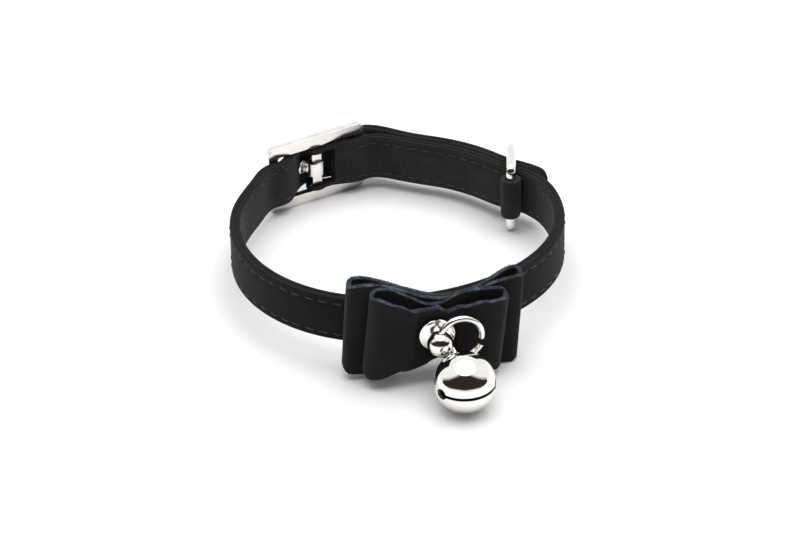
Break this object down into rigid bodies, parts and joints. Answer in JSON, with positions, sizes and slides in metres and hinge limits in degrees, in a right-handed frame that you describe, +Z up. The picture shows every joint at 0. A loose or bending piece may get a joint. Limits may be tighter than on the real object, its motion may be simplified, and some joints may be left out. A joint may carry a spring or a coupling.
{
  "type": "pet bow tie collar",
  "caption": "Small buckled pet collar of black leather with a layered leather bow, a metal stud, a jump ring, a round bell and a D-shaped leash ring.",
  "frame": {"origin": "middle of the collar's plan box, on the surface the collar lies on", "axes": "+Z up off that surface; -Y the way the bow and bell face; +X to the right seen from the bow's side"},
  "size_m": [0.0752, 0.1027, 0.0244],
  "materials": {
    "black_leather": "matte nubuck",
    "bow_leather": "matte suede",
    "chrome": "polished"
  },
  "bodies": {
    "root": {"strap": "black_leather", "ring_sleeve": "black_leather", "bow_back": "bow_leather", "bow_front": "bow_leather", "buckle_frame": "chrome", "buckle_tongue": "chrome", "eyelet_pinned": "chrome", "eyelet_1": "chrome", "eyelet_2": "chrome", "eyelet_3": "chrome", "eyelet_4": "chrome", "leash_ring": "chrome", "bell_stud": "chrome", "jump_ring": "chrome", "bell": "chrome"}
  },
  "joints": []
}
